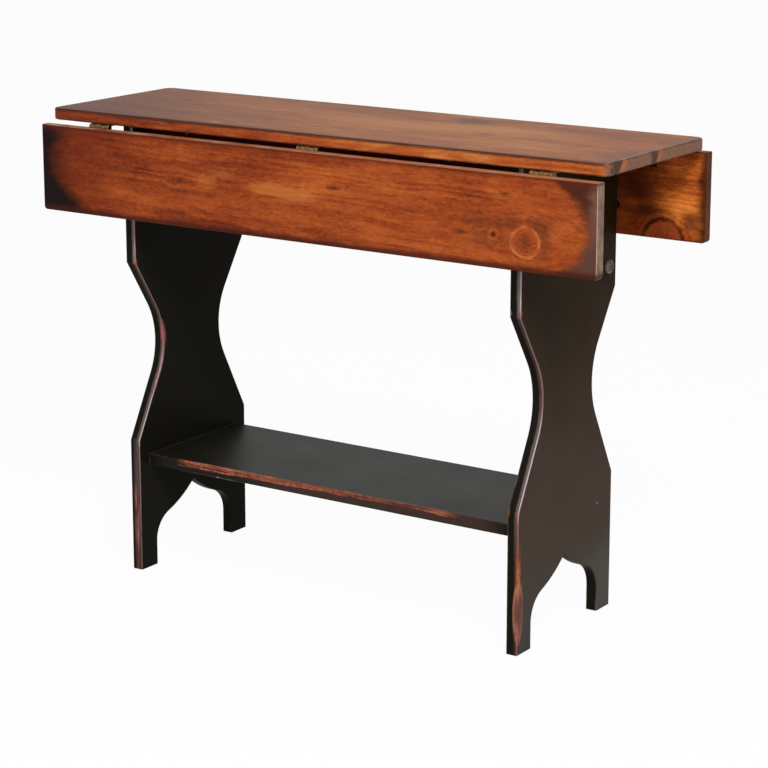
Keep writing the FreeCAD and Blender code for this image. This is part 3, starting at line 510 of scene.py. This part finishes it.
def wear_top_arris(g, colour, above):
    """A pale scuff by the front arris, and the arris itself, dark and chipped."""
    uneven = g.noise(g.x * 42, g.y * 80, g.z * 80, detail=4.0, roughness=0.6)
    colour = g.mark(colour, g.x, g.y, SCUFF, SCUFF_GREY, 0.6, uneven * 1.2, above)
    rounded = g.rise(g.z + uneven * 0.0028, 0.7565, 0.7595) * g.rise(g.y, -0.1460, -0.1500)
    colour = g.mix(rounded * 0.80, colour, ARRIS_BROWN)
    chipped = rounded * g.rise(uneven, 0.22, 0.40) * g.rise(g.x, -0.30, 0.0)
    return g.mix(chipped * 0.55, colour, ARRIS_CHIP)


def tear_top_end(g, colour, drift, above):
    """The right end: greyish end grain with cracks, dark patches and slanting orange tears."""
    colour = g.mix(g.rise(g.x + drift * 0.06, 0.470, 0.520) * 0.5 * above, colour, NEAR_END)
    colour = g.mix(g.rise(g.x + drift * 0.012, 0.504, 0.513) * 0.85, colour, END_GRAIN)
    at_end = g.rise(g.x, 0.505, 0.514)
    torn = g.noise(g.x * 60, g.y * 300, g.z * 130, detail=4.0, roughness=0.7)
    colour = g.mix(at_end * g.rise(torn, 0.05, 0.45) * 0.6, colour, END_FIBRE)
    colour = g.mix(at_end * g.rise(torn, -0.10, -0.40) * 0.7, colour, END_CRACK)
    colour = g.mark(colour, g.y, g.z, END_DARKS, END_DARK, 0.5, torn * 1.2, at_end)
    slant = g.y - (g.z - TOP_END_MIDDLE) * TEAR_SLANT
    return g.mark(colour, slant, g.z, END_TEARS, END_ORANGE, 0.55, torn * 1.3, at_end)


def apron_stain():
    """The dark red stain of the aprons behind the slits."""
    g = Graph("apron_stain")
    pine = Pine(g, g.x, g.z, g.y, heart=(0.60, 0.0), seed=31.0)
    colour = g.ramp(pine.tone(), APRON_TONES)
    return g.dress(colour, 0.50 + pine.pore * 0.15, APRON_GLOSS, pine.pore, PORE_RELIEF)


# Black paint, rubbed through along the arrises, with painted highlights there and a painted floor reflection
# low on the outer faces

PAINT = (0.0078, 0.0076, 0.0046)
PAINT_BROWN = (0.010, 0.008, 0.005)
WARM = (0.027, 0.014, 0.004)
FLOOR_SHEEN_BROWN = (0.080, 0.055, 0.042)
LILAC_HIGHLIGHT_AND_DOT = (0.300, 0.235, 0.230)
RED_WOOD = (0.160, 0.040, 0.026)
PINK_WOOD = (0.300, 0.110, 0.080)
BARE_WOOD = (0.440, 0.135, 0.042)
PAINT_GLOSS = 0.02
SHELF_GLOSS = 0.075


class Paint:
    """Brushed black paint over pine, with the wear that handling leaves on it, painted highlights along its
    arrises and a painted reflection of the floor.
    """

    def __init__(self, name, gloss=PAINT_GLOSS):
        g = Graph(name)
        self.graph, self.gloss = g, gloss
        self.brush = g.noise(g.x * 12, g.y * 300, g.z * 12, detail=3.0)
        self.cloud = g.noise(g.x * 8, g.y * 8, g.z * 8, detail=4.0)
        self.grit = g.noise(g.x * 170, g.y * 170, g.z * 60, detail=4.0, roughness=0.65)
        self.colour = g.mix(g.rise(self.cloud + self.brush * 0.3, -0.3, 0.5), PAINT, PAINT_BROWN)

    def tint(self, share, tone):
        self.colour = self.graph.mix(share, self.colour, tone)

    def fade(self, share):
        """Turn the paint warm brown above and a lighter grey-brown lower down, that lighter part a painted
        reflection of the pale floor; gives how far the painted reflection reaches.
        """
        g = self.graph
        floor_sheen = g.rise(g.z + self.cloud * 0.15, 0.60, 0.12)
        self.tint(share, g.mix(floor_sheen, WARM, FLOOR_SHEEN_BROWN))
        return floor_sheen

    def rub(self, reach, width, strength):
        """Along an arris, paint a greyish lilac highlight in some places and rub the paint through to red
        wood in others, here more, there less.
        """
        g = self.graph
        wide = g.noise(g.x * 9, g.y * 9, g.z * 13, detail=3.0)
        line = g.rise(reach - wide * 0.0025 + self.grit * 0.0012, width, width * 0.3)
        bare = g.rise(g.noise(g.x * 17, g.y * 17, g.z * 21, detail=2.0), -0.10, 0.25)
        share = line * (g.rise(wide, -0.40, 0.10) * 0.65 + 0.35) * strength
        # A greyish lilac painted highlight, with red wood where the paint is rubbed through
        self.tint(share, g.mix(bare, LILAC_HIGHLIGHT_AND_DOT, RED_WOOD))

    def bare(self, share, tone=BARE_WOOD):
        """Lay bare the wood there, with flecks of paint left on it."""
        g = self.graph
        flecks = g.rise(self.grit, 0.38, 0.10)
        self.tint(share * flecks, g.mix(g.rise(self.cloud + self.grit, -0.4, 0.4), RED_WOOD, tone))

    def ragged(self):
        """Unevenness for the outline of a worn patch."""
        return self.grit * 0.7 + self.cloud * 0.5

    def finish(self):
        height = self.brush + self.grit * 0.5
        return self.graph.dress(self.colour, 0.44 + self.cloud * 0.10, self.gloss, height, 0.00006)


# The end boards

END_HALF_WIDTH = 0.142875
WAIST_HALF_WIDTH = 0.075
WAIST_LEVEL = 0.380
WAIST_RADIUS = 0.116
WAIST_TO_SHOULDER = 0.140
WAIST_TO_HIP = 0.158
ARC_HALF_HEIGHT = 0.062
ARC_DEPTH = 0.0180
FLANK_COSINE = 0.85

# How much of the brown and of the painted floor reflection the outer faces take
BROWN_AND_SHEEN_SHARE = 0.75
# Grey near the floor on the outer faces: a painted reflection of the floor, lighter on the rear foot to make
# up for the shade it stands in
FOOT_FLOOR_SHEEN = (0.058, 0.054, 0.045)
REAR_FOOT_SHEEN_LIFTED = (0.086, 0.082, 0.070)
DUST = (0.110, 0.078, 0.060)
# The painted highlight on the rounded +X arris of the front edges
ARRIS_HIGHLIGHT = (0.530, 0.440, 0.430)
EDGE_TOP = 0.6
# Front-edge tones up its height: the grey-lilac ones a painted highlight, the plum and brown ones wear
EDGE_HIGHLIGHT_AND_WEAR_TONES = [
    (0.0, (0.050, 0.020, 0.015)),
    (0.25, (0.070, 0.032, 0.025)),
    (0.36, (0.150, 0.080, 0.068)),
    (0.40, (0.160, 0.122, 0.122)),
    (0.58, (0.150, 0.105, 0.105)),
    (0.66, (0.105, 0.045, 0.042)),
    (0.86, (0.090, 0.045, 0.042)),
    (0.89, (0.200, 0.168, 0.170)),
]


def end_board_outline(g):
    """How far a point of an end board's wide face lies inside the board's outline."""
    away = abs(g.z - WAIST_LEVEL)
    upper = g.rise(g.z, WAIST_LEVEL - 0.001, WAIST_LEVEL + 0.001)
    tall = upper * (WAIST_TO_SHOULDER - WAIST_TO_HIP) + WAIST_TO_HIP
    in_arc = g.math("MINIMUM", away, ARC_HALF_HEIGHT)
    arc = WAIST_RADIUS - g.math("SQRT", WAIST_RADIUS * WAIST_RADIUS - g.square(in_arc))
    past_arc = g.math("MAXIMUM", away - ARC_HALF_HEIGHT, 0.0) / (tall - ARC_HALF_HEIGHT)
    flank = past_arc * (END_HALF_WIDTH - WAIST_HALF_WIDTH - ARC_DEPTH)
    half_width = g.math("MINIMUM", WAIST_HALF_WIDTH + arc + flank, END_HALF_WIDTH)
    return (half_width - abs(g.y)) * FLANK_COSINE


def end_board_paint(node, worn):
    """An end board's paint; worn lays the marks of that one board on it."""
    paint = Paint(f"{node}_paint")
    g = paint.graph
    low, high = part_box(node)
    from_face = (high.x - low.x) / 2 - abs(g.x - (high.x + low.x) / 2)
    wide_face = g.rise(abs(g.facing_x), 0.5, 0.9)
    from_arris = g.math("MINIMUM", from_face + wide_face, end_board_outline(g) + (1 - wide_face))
    outside = g.rise(g.facing_x * math.copysign(1.0, low.x), 0.5, 0.9)
    # Outer faces only: warm brown above and, lower down, a lighter painted reflection of the pale floor
    floor_sheen = paint.fade(outside * BROWN_AND_SHEEN_SHARE)
    low_down = g.rise(g.z + paint.cloud * 0.04, 0.15, 0.05)
    # Greyer down by the floor: painted floor reflection, lifted on the rear foot against its shade
    paint.tint(outside * low_down * 0.85, g.mix(g.rise(g.y, 0.0, 0.10), FOOT_FLOOR_SHEEN, REAR_FOOT_SHEEN_LIFTED))
    # Dust flecks, laid where the painted floor reflection is
    paint.tint(outside * g.rise(paint.grit, 0.1, 0.5) * floor_sheen * 0.4, DUST)
    # Along the arrises: a painted lilac highlight in some places, red wood rubbed through in others
    paint.rub(from_arris, width=0.0020, strength=0.45)
    edge_highlight_and_wear(paint, high.x)
    worn(paint, from_arris)
    return paint.finish()


def edge_highlight_and_wear(paint, right_face):
    """The front edge: along its +X side a band of grey-lilac painted highlight with plum and brown wear, and
    a painted highlight down the rounded +X arris, partly pink bare wood.
    """
    g = paint.graph
    front = g.rise(g.facing_y, 0.0, -0.25) * g.rise(g.y, -0.03, -0.06)
    uneven = paint.grit * 0.0022 + paint.cloud * 0.0024
    # A band along the +X side of the edge face: painted grey-lilac highlight and plum and brown wear, by
    # height
    band = g.rise(right_face - g.x + uneven, 0.0080, 0.0040) * g.rise(g.facing_x, 0.98, 0.90)
    paint.tint(band * front * g.rise(paint.grit, 0.75, 0.1) * 0.75, g.ramp(g.z / EDGE_TOP, EDGE_HIGHLIGHT_AND_WEAR_TONES))
    # A painted highlight down the rounded +X arris, brighter at the shoulder and below the waist, partly pink
    # bare wood
    rounded = g.rise(g.facing_x, 0.12, 0.40) * g.rise(g.facing_x, 0.98, 0.88)
    bright = g.rise(g.z, 0.520, 0.545) + g.rise(g.z, 0.205, 0.225) * g.rise(g.z, 0.375, 0.330)
    share = rounded * (bright * 0.7 + 0.25 + paint.cloud * 0.3) * g.rise(paint.grit, 0.6, 0.1)
    paint.tint(share * front, g.mix(g.rise(paint.cloud, 0.0, 0.4), ARRIS_HIGHLIGHT, PINK_WOOD))


# The right board's shoulder and hip, its scrape across the foot's front arris, and a pale dot

RIGHT_FACE = 0.372
RIGHT_FRONT = -0.1429
RIGHT_SPOTS = ((0.526, 0.005), (0.222, 0.007))
SIDE_UNIT = 0.024
EDGE_UNIT = 0.016
SCRAPE = ((0.12, 0.067), (0.62, 0.051))
SCRAPE_PINK = (0.37, 0.150, 0.108)
HOLLOW = ((0.12, 0.068), (0.46, 0.039))
HOLLOW_BROWN = (0.085, 0.042, 0.028)
TONGUE = ((0.08, 0.132), (0.26, 0.042))
TONGUE_ORANGE = (0.58, 0.20, 0.070)
DOT = ((0.0974, 0.1795), (0.0022, 0.0022))
REAR_RUB = ((RIGHT_FACE, 0.150), (0.012, 0.050))


def right_board_wear(paint, from_arris):
    """A shoulder and hips rubbed to bare wood, and a long scrape down the front foot."""
    g = paint.graph
    front = g.rise(g.y, -0.120, -0.135)
    ragged = paint.ragged()
    for level, half in RIGHT_SPOTS:
        paint.bare(g.blot(from_arris, g.z, (0.0, level), (0.003, half), 0.6, ragged) * front)
    round_arris = (g.y - RIGHT_FRONT) / SIDE_UNIT - (RIGHT_FACE - g.x) / EDGE_UNIT
    scrape = g.blot(round_arris, g.z, *SCRAPE, 0.10, ragged * 0.12)
    hollow = g.blot(round_arris, g.z, *HOLLOW, 0.18, ragged * 0.25)
    paint.bare(scrape * front * 0.95, SCRAPE_PINK)
    paint.tint(hollow * front * g.rise(g.z, 0.030, 0.065) * 0.78, HOLLOW_BROWN)
    tongue = g.blot(round_arris, g.z, *TONGUE, 0.5, ragged * 0.25)
    paint.bare(tongue * front, TONGUE_ORANGE)
    inner = g.rise(g.x, 0.3560, 0.3535) * g.rise(g.z, 0.230, 0.215) * g.rise(paint.grit, 0.4, 0.0)
    paint.tint(inner * front * 0.6, RED_WOOD)
    # The pale dot of a plug under the paint, in the same lilac as the painted highlights
    paint.tint(g.blot(g.y, g.z, *DOT) * 0.6, LILAC_HIGHLIGHT_AND_DOT)
    rear = g.rise(g.y, 0.138, 0.1425) * g.blot(g.x, g.z, *REAR_RUB, 0.7, ragged)
    paint.bare(rear * 0.6)


# The left board's rubs and one painted highlight, each with its level, width, half height and tone, and the
# band down its foot, grey painted highlight above red wear

LEFT_RUBS_AND_HIGHLIGHT = (
    (0.522, 0.004, 0.006, BARE_WOOD),
    (0.390, 0.0048, 0.024, (0.43, 0.165, 0.130)),
    # Not a rub: a pale lilac painted highlight on the arris below the waist
    (0.330, 0.0030, 0.045, (0.46, 0.36, 0.345)),
)
FOOT_BAND = ((-0.3605, 0.125), (0.0045, 0.110))
BAND_HIGHLIGHT_GREY = (0.085, 0.062, 0.066)
BAND_DARK = (0.062, 0.024, 0.020)
BAND_PINK = (0.40, 0.158, 0.135)


def left_board_wear(paint, from_arris):
    """A waist rubbed red, a shoulder touched to bare wood, a painted lilac highlight below the waist, and a
    band down the front foot, grey painted highlight above and rubbed red lower down.
    """
    g = paint.graph
    front = g.rise(g.y, -0.060, -0.070)
    ragged = paint.ragged()
    inner = g.rise(g.x, -0.364, -0.360)
    for level, width, half, tone in LEFT_RUBS_AND_HIGHLIGHT:
        rubbed = g.blot(from_arris, g.z, (0.0, level), (width, half), 0.5, ragged * 1.5)
        paint.bare(rubbed * front * inner, tone)
    band = g.blot(g.x, g.z, *FOOT_BAND, 0.8, ragged * 0.4)
    low = g.rise(g.z + paint.cloud * 0.08, 0.160, 0.110)
    streak = g.noise(g.x * 420, g.y * 40, g.z * 22, detail=3.0)
    red = g.mix(g.rise(streak + paint.grit * 0.5, -0.25, 0.35), BAND_DARK, BAND_PINK)
    # Down the foot's front edge: a grey painted highlight above, red wear lower down
    paint.tint(band * g.rise(g.y, -0.1405, -0.1425) * 0.85, g.mix(low, BAND_HIGHLIGHT_GREY, red))


# The shelf and the smaller pieces

SHELF_WASH = (0.055, 0.029, 0.021)
SHELF_ORANGE = (0.54, 0.145, 0.060)
SEAM_GREY = (0.060, 0.058, 0.050)
SHELF_CHIP = ((-0.2113, 0.1765), (0.0030, 0.0014))
CHIP_PALE = (0.50, 0.46, 0.42)


def shelf_paint():
    """The shelf's paint, scuffed through in ragged streaks along its front arris."""
    paint = Paint("shelf_paint", SHELF_GLOSS)
    g = paint.graph
    low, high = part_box("shelf")
    from_arris = edge_distance(g, "shelf")
    # Along the shelf's arrises: a painted lilac highlight in some places, red wood rubbed through in others
    paint.rub(from_arris + g.rise(abs(g.y), 0.100, 0.090), width=0.0012, strength=0.8)
    front = g.rise(g.y, low.y + 0.006, low.y + 0.003)
    torn = g.noise(g.x * 26, g.z * 260, g.y * 260, detail=4.0, roughness=0.65)
    crack = g.rise(g.noise(g.x * 17, g.z * 560, g.y * 560, detail=3.0, roughness=0.6), -0.05, 0.14)
    depth = high.z - g.z
    upper = g.rise(abs(depth - 0.0028 - paint.cloud * 0.002) + torn * 0.0050, 0.0048, 0.0018)
    upper = upper * (1 - crack * 0.9)
    lower = g.rise(abs(depth - 0.0062 + g.x * 0.010 - paint.cloud * 0.003) + torn * 0.0060, 0.0022, 0.0002)
    streaks = g.math("MAXIMUM", upper, lower * g.rise(g.x, 0.16, -0.02))
    span = g.rise(g.x, -0.300, -0.270) * g.rise(g.x, 0.260, 0.200)
    wash = g.rise(g.x + torn * 0.1, -0.20, -0.06) * g.rise(g.x, 0.34, 0.28)
    wash = wash * g.rise(depth + torn * 0.004, 0.020, 0.015)
    paint.tint(wash * front * 0.7, SHELF_WASH)
    paint.bare(streaks * front * span, SHELF_ORANGE)
    seam = g.rise(g.x - low.x, 0.0030, 0.0012) * g.rise(g.facing_z, 0.5, 0.9)
    paint.tint(seam * 0.5, SEAM_GREY)
    paint.tint(g.blot(g.x, g.z, *SHELF_CHIP) * front * 0.8, CHIP_PALE)
    return paint.finish()


def frame_paint():
    """The plain paint of the cleats and pegs under the top."""
    return Paint("frame_paint").finish()


def plug_paint():
    """The paint of the plugs in the end boards' outer faces, which goes with the boards."""
    paint = Paint("plug_paint")
    # The plugs take the same brown and painted floor reflection as the boards' outer faces
    paint.fade(BROWN_AND_SHEEN_SHARE)
    return paint.finish()


def aged_metal(name, waves, dark, light, roughness):
    """A dull metal, clouded at so many waves a metre between a dark and a light tone."""
    g = Graph(name)
    cloud = g.noise(g.x * waves, g.y * waves, g.z * waves, detail=4.0)
    colour = g.mix(g.rise(cloud, -0.4, 0.5), dark, light)
    g.shader.inputs["Metallic"].default_value = 1.0
    return g.dress(colour, roughness + cloud * 0.15, 0.5, cloud, 0.00005)


def knob_finish():
    """The knob: dark brown, rubbed paler round its rim."""
    g = Graph("knob_paint")
    cloud = g.noise(g.x * 120, g.y * 120, g.z * 120, detail=4.0)
    low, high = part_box("side_knob")
    middle, radius = (low + high) / 2, (high.z - low.z) / 2
    reach = g.math("SQRT", g.square(g.y - middle.y) + g.square(g.z - middle.z)) / radius
    rim = g.rise(reach + cloud * 0.3, 0.55, 0.85)
    colour = g.mix(g.rise(cloud, -0.4, 0.4), (0.030, 0.015, 0.011), (0.075, 0.042, 0.032))
    colour = g.mix(rim * 0.7, colour, (0.170, 0.110, 0.088))
    return g.dress(colour, 0.40 + cloud * 0.12, 0.45, cloud, 0.0001)


def use(material, *names):
    for name in names:
        nodes[name].data.materials.clear()
        nodes[name].data.materials.append(material)


brass = aged_metal("aged_brass", 160, (0.070, 0.036, 0.014), (0.26, 0.15, 0.062), 0.40)
steel = aged_metal("dull_steel", 120, (0.055, 0.050, 0.046), (0.15, 0.14, 0.13), 0.45)
use(top_pine(), "top_board")
use(front_leaf_pine(), "front_leaf")
use(rear_leaf_pine(), "rear_leaf")
use(end_board_paint("left_end_board", left_board_wear), "left_end_board")
use(end_board_paint("right_end_board", right_board_wear), "right_end_board")
use(shelf_paint(), "shelf")
use(apron_stain(), "front_apron", "rear_apron")
use(frame_paint(), "left_top_cleat", "right_top_cleat", "leaf_stop_pegs")
use(plug_paint(), "end_board_plugs")
use(knob_finish(), "side_knob")
use(brass, *(name for name in nodes if "hinge" in name))
use(steel, *(name for name in nodes if "support" in name), "end_board_screws", "cleat_screws")


# Studio

FLOOR_SIZE = 80.0
FLOOR_TONE = (0.92, 0.92, 0.92, 1.0)
FLOOR_GLOW = 0.955
AMBIENT = 0.34


def floor():
    """A wide, pale floor that looks nearly white and still takes a soft shadow."""
    bpy.ops.mesh.primitive_plane_add(size=FLOOR_SIZE)
    plane = bpy.context.object
    plane.name = "floor"
    material = bpy.data.materials.new("floor")
    material.use_nodes = True
    tree = material.node_tree
    matt = tree.nodes["Principled BSDF"]
    matt.inputs["Base Color"].default_value = FLOOR_TONE
    matt.inputs["Roughness"].default_value = 0.9
    matt.inputs["Specular IOR Level"].default_value = 0.0
    glow = tree.nodes.new("ShaderNodeEmission")
    blend = tree.nodes.new("ShaderNodeMixShader")
    tree.links.new(seen_directly(tree, FLOOR_GLOW), blend.inputs[0])
    tree.links.new(matt.outputs[0], blend.inputs[1])
    tree.links.new(glow.outputs[0], blend.inputs[2])
    tree.links.new(blend.outputs[0], tree.nodes["Material Output"].inputs["Surface"])
    plane.data.materials.append(material)


def seen_directly(tree, share):
    """That share where the camera looks, also in a mirror or through glass, and 0 elsewhere."""
    path = tree.nodes.new("ShaderNodeLightPath")
    total = path.outputs["Is Camera Ray"]
    for name in ("Is Glossy Ray", "Is Transmission Ray"):
        either = tree.nodes.new("ShaderNodeMath")
        either.operation = "MAXIMUM"
        tree.links.new(total, either.inputs[0])
        tree.links.new(path.outputs[name], either.inputs[1])
        total = either.outputs[0]
    scaled = tree.nodes.new("ShaderNodeMath")
    scaled.operation = "MULTIPLY"
    tree.links.new(total, scaled.inputs[0])
    scaled.inputs[1].default_value = share
    return scaled.outputs[0]


def surroundings(ambient):
    """White where the camera looks, and an even light of that level on the table."""
    world = bpy.data.worlds.new("studio")
    bpy.context.scene.world = world
    world.use_nodes = True
    tree = world.node_tree
    sky = tree.nodes["Background"]
    sky.inputs["Color"].default_value = (1.0, 1.0, 1.0, 1.0)
    level = tree.nodes.new("ShaderNodeMath")
    level.operation = "MULTIPLY_ADD"
    tree.links.new(seen_directly(tree, 1.0), level.inputs[0])
    level.inputs[1].default_value = 1.0 - ambient
    level.inputs[2].default_value = ambient
    tree.links.new(level.outputs[0], sky.inputs["Strength"])


def softbox(name, place, target, size, power):
    """A square lamp at a place, turned towards a target."""
    lamp = bpy.data.lights.new(name, "AREA")
    lamp.shape = "SQUARE"
    lamp.size = size
    lamp.energy = power
    thing = bpy.data.objects.new(name, lamp)
    bpy.context.scene.collection.objects.link(thing)
    thing.location = place
    aim = bpy.data.objects.new(f"{name}_aim", None)
    bpy.context.scene.collection.objects.link(aim)
    aim.location = target
    track = thing.constraints.new("TRACK_TO")
    track.target = aim
    track.track_axis = "TRACK_NEGATIVE_Z"
    track.up_axis = "UP_Y"


def camera():
    """The photograph's own view, found from the table's straight edges in a frame 768 pixels wide."""
    frame_width = 768
    focal, centre_rise = 2468.7, 61
    pitch, yaw = -12.91, 33.99
    data = bpy.data.cameras.new("camera")
    data.sensor_width = 36.0
    data.lens = focal / frame_width * data.sensor_width
    data.shift_y = -centre_rise / frame_width
    thing = bpy.data.objects.new("camera", data)
    bpy.context.scene.collection.objects.link(thing)
    thing.location = (2.1664, -3.1605, 1.3175)
    thing.rotation_euler = (math.radians(90 + pitch), 0.0, math.radians(yaw))
    bpy.context.scene.camera = thing


floor()
surroundings(AMBIENT)
softbox("key", place=(1.9, -1.9, 3.0), target=(0.0, 0.0, 0.6), size=1.1, power=95)
softbox("fill", place=(-1.4, -3.2, 1.5), target=(0.0, 0.0, 0.5), size=2.0, power=26)
camera()
bpy.context.scene.view_settings.view_transform = "Standard"
